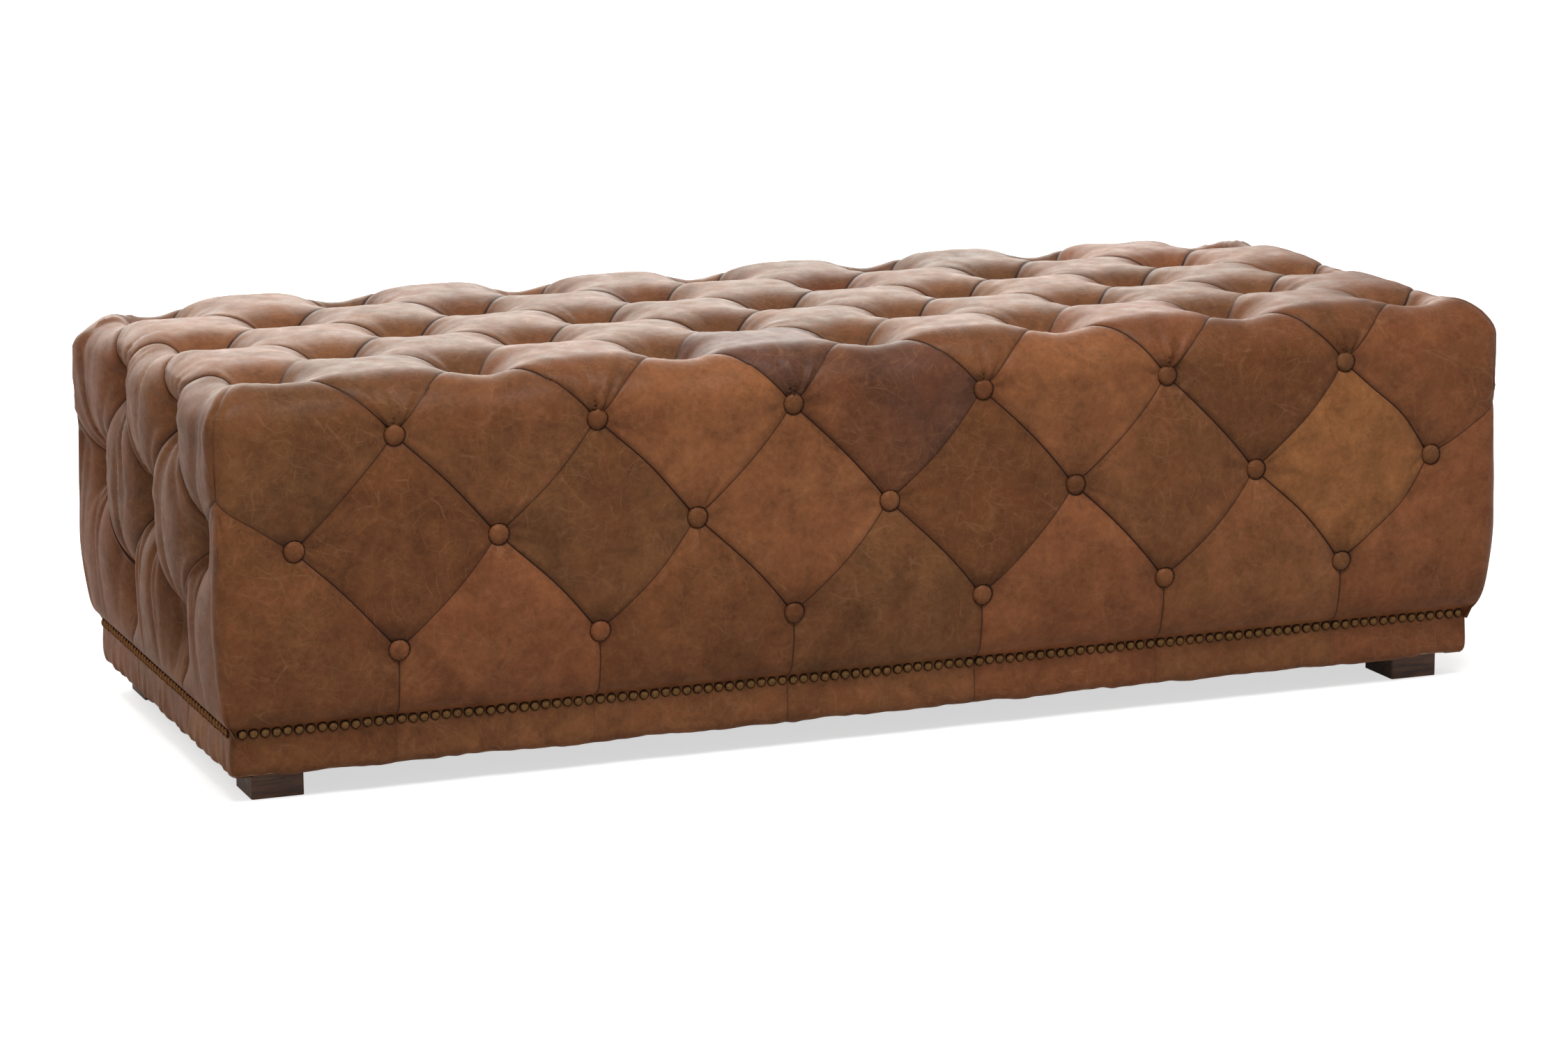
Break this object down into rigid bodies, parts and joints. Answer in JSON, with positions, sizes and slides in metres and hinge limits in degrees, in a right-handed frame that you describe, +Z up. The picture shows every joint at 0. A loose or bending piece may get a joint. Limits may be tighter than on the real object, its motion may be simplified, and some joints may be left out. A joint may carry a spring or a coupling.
{
  "type": "tufted ottoman",
  "caption": "Long low padded bench with diamond-tufted patchwork leather, covered buttons, a row of nailheads above a plain band and small block feet.",
  "frame": {"origin": "on the floor, at the middle of the footprint", "axes": "+X along the length to the right, +Y to the rear, +Z up; the front seen in the picture faces -Y"},
  "size_m": [1.5086, 0.6602, 0.4489],
  "materials": {
    "tufted_leather": "pull-up brown leather sewn from diamonds of different tones",
    "button_leather": "covered with the same brown leather",
    "band_leather": "plain brown leather",
    "antique_brass": "antique, dark in the hollows",
    "dark_wood": "dark brown stain, worn edges",
    "frame_wood": "bare hardwood",
    "plywood": "bare plywood",
    "foam": "open-cell foam",
    "black_fabric": "thin black non-woven cloth",
    "twine": "waxed twine",
    "steel": "zinc plated"
  },
  "bodies": {
    "root": {"base_cross_rails": "frame_wood", "block_screws": "steel", "button_cords": "twine", "cord_washers": "steel", "corner_bands": "band_leather", "corner_blocks": "frame_wood", "corner_posts": "frame_wood", "cross_battens": "frame_wood", "deck_panel": "plywood", "deck_screws": "steel", "dust_cover": "black_fabric", "front_band": "band_leather", "front_batten": "frame_wood", "front_buttons": "button_leather", "front_cover": "tufted_leather", "front_foam": "foam", "front_left_foot": "dark_wood", "front_nails": "antique_brass", "front_panel": "plywood", "front_rail": "frame_wood", "front_right_foot": "dark_wood", "hanger_bolts": "steel", "left_band": "band_leather", "left_batten": "frame_wood", "left_buttons": "button_leather", "left_cover": "tufted_leather", "left_foam": "foam", "left_nails": "antique_brass", "left_panel": "plywood", "left_rail": "frame_wood", "middle_posts": "frame_wood", "panel_screws": "steel", "post_dowels": "frame_wood", "rail_dowels": "frame_wood", "rear_band": "band_leather", "rear_batten": "frame_wood", "rear_buttons": "button_leather", "rear_cover": "tufted_leather", "rear_foam": "foam", "rear_left_foot": "dark_wood", "rear_nails": "antique_brass", "rear_panel": "plywood", "rear_rail": "frame_wood", "rear_right_foot": "dark_wood", "right_band": "band_leather", "right_batten": "frame_wood", "right_buttons": "button_leather", "right_cover": "tufted_leather", "right_foam": "foam", "right_nails": "antique_brass", "right_panel": "plywood", "right_rail": "frame_wood", "tee_nuts": "steel", "top_buttons": "button_leather", "top_cover": "tufted_leather", "top_foam": "foam"}
  },
  "joints": []
}
